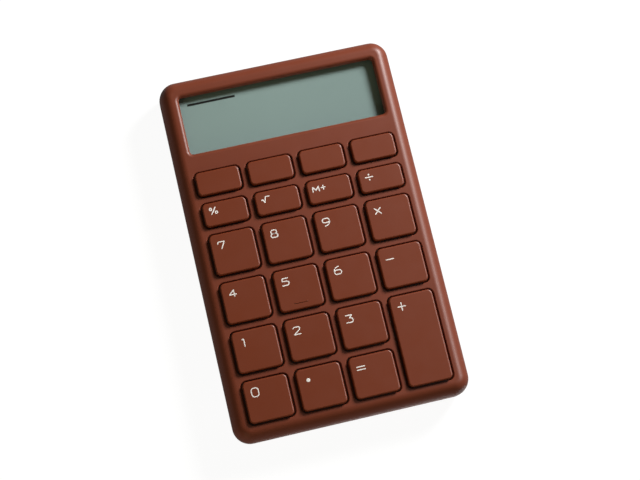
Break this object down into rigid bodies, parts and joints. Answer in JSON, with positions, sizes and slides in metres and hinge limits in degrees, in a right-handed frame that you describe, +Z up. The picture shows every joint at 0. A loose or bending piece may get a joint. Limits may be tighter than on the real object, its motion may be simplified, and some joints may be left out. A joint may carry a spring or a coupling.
{
  "type": "desk calculator",
  "caption": "Slim desk calculator with a rounded case, a recessed liquid crystal display, flat sprung keys, a coin cell behind a round door and rubber feet.",
  "frame": {"origin": "centre of the case's footprint, on the surface that the feet stand on", "axes": "+X to the right of the keys, +Y towards the display end, +Z up out of the keys"},
  "size_m": [0.0772, 0.1202, 0.0138],
  "materials": {
    "case": "satin",
    "key_cap": "satin",
    "silicone": "matte",
    "carbon": "matte",
    "circuit_board": "satin",
    "black_resin": "satin",
    "can": "satin",
    "cell_steel": "satin",
    "spring_metal": "polished",
    "clear_window": "gloss",
    "polariser": "satin",
    "display_glass": "gloss",
    "reflector": "satin",
    "foam": "matte",
    "frame_plastic": "matte",
    "contact_rubber": "matte",
    "screw_steel": "satin",
    "foot_rubber": "matte",
    "legend_ink": "satin",
    "display_ink": "satin"
  },
  "bodies": {
    "case": {"top_shell": "case", "rear_cover": "case", "keypad_mat": "silicone", "contact_pills": "carbon", "main_board": "circuit_board", "chip_blob": "black_resin", "resistors": "black_resin", "capacitor": "can", "coin_cell": "cell_steel", "cell_contact_top": "spring_metal", "cell_contact_rim": "spring_metal", "display_window": "clear_window", "lcd_polariser": "polariser", "lcd_front_glass": "display_glass", "lcd_rear_glass": "display_glass", "lcd_reflector": "reflector", "lcd_foam": "foam", "lcd_frame": "frame_plastic", "lcd_strip": "contact_rubber", "case_screws": "screw_steel", "board_screws": "screw_steel", "foot_front_left": "foot_rubber", "foot_front_right": "foot_rubber", "foot_back_left": "foot_rubber", "foot_back_right": "foot_rubber"},
    "battery_door": {"battery_door": "case"},
    "key_0": {"key_0": "key_cap"},
    "key_point": {"key_point": "key_cap"},
    "key_equals": {"key_equals": "key_cap"},
    "key_plus": {"key_plus": "key_cap"},
    "key_1": {"key_1": "key_cap"},
    "key_2": {"key_2": "key_cap"},
    "key_3": {"key_3": "key_cap"},
    "key_4": {"key_4": "key_cap"},
    "key_5": {"key_5": "key_cap"},
    "key_6": {"key_6": "key_cap"},
    "key_minus": {"key_minus": "key_cap"},
    "key_7": {"key_7": "key_cap"},
    "key_8": {"key_8": "key_cap"},
    "key_9": {"key_9": "key_cap"},
    "key_multiply": {"key_multiply": "key_cap"},
    "key_percent": {"key_percent": "key_cap"},
    "key_root": {"key_root": "key_cap"},
    "key_memory_plus": {"key_memory_plus": "key_cap"},
    "key_divide": {"key_divide": "key_cap"},
    "key_function_1": {"key_function_1": "key_cap"},
    "key_function_2": {"key_function_2": "key_cap"},
    "key_function_3": {"key_function_3": "key_cap"},
    "key_function_4": {"key_function_4": "key_cap"}
  },
  "joints": [
    {"name": "battery_door_turn", "type": "hinge", "parent": "case", "child": "battery_door", "pos_m": [0, 0.0381, 0.0008], "axis": [0, 0, -1], "range_deg": [0, 60]},
    {"name": "key_0_press", "type": "slide", "parent": "case", "child": "key_0", "axis": [0, 0, -1], "range_m": [0, 0.001], "stiffness_N_per_m": 400, "springref_m": -0.00075, "deforming": ["keypad_mat"]},
    {"name": "key_point_press", "type": "slide", "parent": "case", "child": "key_point", "axis": [0, 0, -1], "range_m": [0, 0.001], "stiffness_N_per_m": 400, "springref_m": -0.00075, "deforming": ["keypad_mat"]},
    {"name": "key_equals_press", "type": "slide", "parent": "case", "child": "key_equals", "axis": [0, 0, -1], "range_m": [0, 0.001], "stiffness_N_per_m": 400, "springref_m": -0.00075, "deforming": ["keypad_mat"]},
    {"name": "key_plus_press", "type": "slide", "parent": "case", "child": "key_plus", "axis": [0, 0, -1], "range_m": [0, 0.001], "stiffness_N_per_m": 400, "springref_m": -0.00075, "deforming": ["keypad_mat"]},
    {"name": "key_1_press", "type": "slide", "parent": "case", "child": "key_1", "axis": [0, 0, -1], "range_m": [0, 0.001], "stiffness_N_per_m": 400, "springref_m": -0.00075, "deforming": ["keypad_mat"]},
    {"name": "key_2_press", "type": "slide", "parent": "case", "child": "key_2", "axis": [0, 0, -1], "range_m": [0, 0.001], "stiffness_N_per_m": 400, "springref_m": -0.00075, "deforming": ["keypad_mat"]},
    {"name": "key_3_press", "type": "slide", "parent": "case", "child": "key_3", "axis": [0, 0, -1], "range_m": [0, 0.001], "stiffness_N_per_m": 400, "springref_m": -0.00075, "deforming": ["keypad_mat"]},
    {"name": "key_4_press", "type": "slide", "parent": "case", "child": "key_4", "axis": [0, 0, -1], "range_m": [0, 0.001], "stiffness_N_per_m": 400, "springref_m": -0.00075, "deforming": ["keypad_mat"]},
    {"name": "key_5_press", "type": "slide", "parent": "case", "child": "key_5", "axis": [0, 0, -1], "range_m": [0, 0.001], "stiffness_N_per_m": 400, "springref_m": -0.00075, "deforming": ["keypad_mat"]},
    {"name": "key_6_press", "type": "slide", "parent": "case", "child": "key_6", "axis": [0, 0, -1], "range_m": [0, 0.001], "stiffness_N_per_m": 400, "springref_m": -0.00075, "deforming": ["keypad_mat"]},
    {"name": "key_minus_press", "type": "slide", "parent": "case", "child": "key_minus", "axis": [0, 0, -1], "range_m": [0, 0.001], "stiffness_N_per_m": 400, "springref_m": -0.00075, "deforming": ["keypad_mat"]},
    {"name": "key_7_press", "type": "slide", "parent": "case", "child": "key_7", "axis": [0, 0, -1], "range_m": [0, 0.001], "stiffness_N_per_m": 400, "springref_m": -0.00075, "deforming": ["keypad_mat"]},
    {"name": "key_8_press", "type": "slide", "parent": "case", "child": "key_8", "axis": [0, 0, -1], "range_m": [0, 0.001], "stiffness_N_per_m": 400, "springref_m": -0.00075, "deforming": ["keypad_mat"]},
    {"name": "key_9_press", "type": "slide", "parent": "case", "child": "key_9", "axis": [0, 0, -1], "range_m": [0, 0.001], "stiffness_N_per_m": 400, "springref_m": -0.00075, "deforming": ["keypad_mat"]},
    {"name": "key_multiply_press", "type": "slide", "parent": "case", "child": "key_multiply", "axis": [0, 0, -1], "range_m": [0, 0.001], "stiffness_N_per_m": 400, "springref_m": -0.00075, "deforming": ["keypad_mat"]},
    {"name": "key_percent_press", "type": "slide", "parent": "case", "child": "key_percent", "axis": [0, 0, -1], "range_m": [0, 0.001], "stiffness_N_per_m": 400, "springref_m": -0.00075, "deforming": ["keypad_mat"]},
    {"name": "key_root_press", "type": "slide", "parent": "case", "child": "key_root", "axis": [0, 0, -1], "range_m": [0, 0.001], "stiffness_N_per_m": 400, "springref_m": -0.00075, "deforming": ["keypad_mat"]},
    {"name": "key_memory_plus_press", "type": "slide", "parent": "case", "child": "key_memory_plus", "axis": [0, 0, -1], "range_m": [0, 0.001], "stiffness_N_per_m": 400, "springref_m": -0.00075, "deforming": ["keypad_mat"]},
    {"name": "key_divide_press", "type": "slide", "parent": "case", "child": "key_divide", "axis": [0, 0, -1], "range_m": [0, 0.001], "stiffness_N_per_m": 400, "springref_m": -0.00075, "deforming": ["keypad_mat"]},
    {"name": "key_function_1_press", "type": "slide", "parent": "case", "child": "key_function_1", "axis": [0, 0, -1], "range_m": [0, 0.001], "stiffness_N_per_m": 400, "springref_m": -0.00075, "deforming": ["keypad_mat"]},
    {"name": "key_function_2_press", "type": "slide", "parent": "case", "child": "key_function_2", "axis": [0, 0, -1], "range_m": [0, 0.001], "stiffness_N_per_m": 400, "springref_m": -0.00075, "deforming": ["keypad_mat"]},
    {"name": "key_function_3_press", "type": "slide", "parent": "case", "child": "key_function_3", "axis": [0, 0, -1], "range_m": [0, 0.001], "stiffness_N_per_m": 400, "springref_m": -0.00075, "deforming": ["keypad_mat"]},
    {"name": "key_function_4_press", "type": "slide", "parent": "case", "child": "key_function_4", "axis": [0, 0, -1], "range_m": [0, 0.001], "stiffness_N_per_m": 400, "springref_m": -0.00075, "deforming": ["keypad_mat"]}
  ]
}
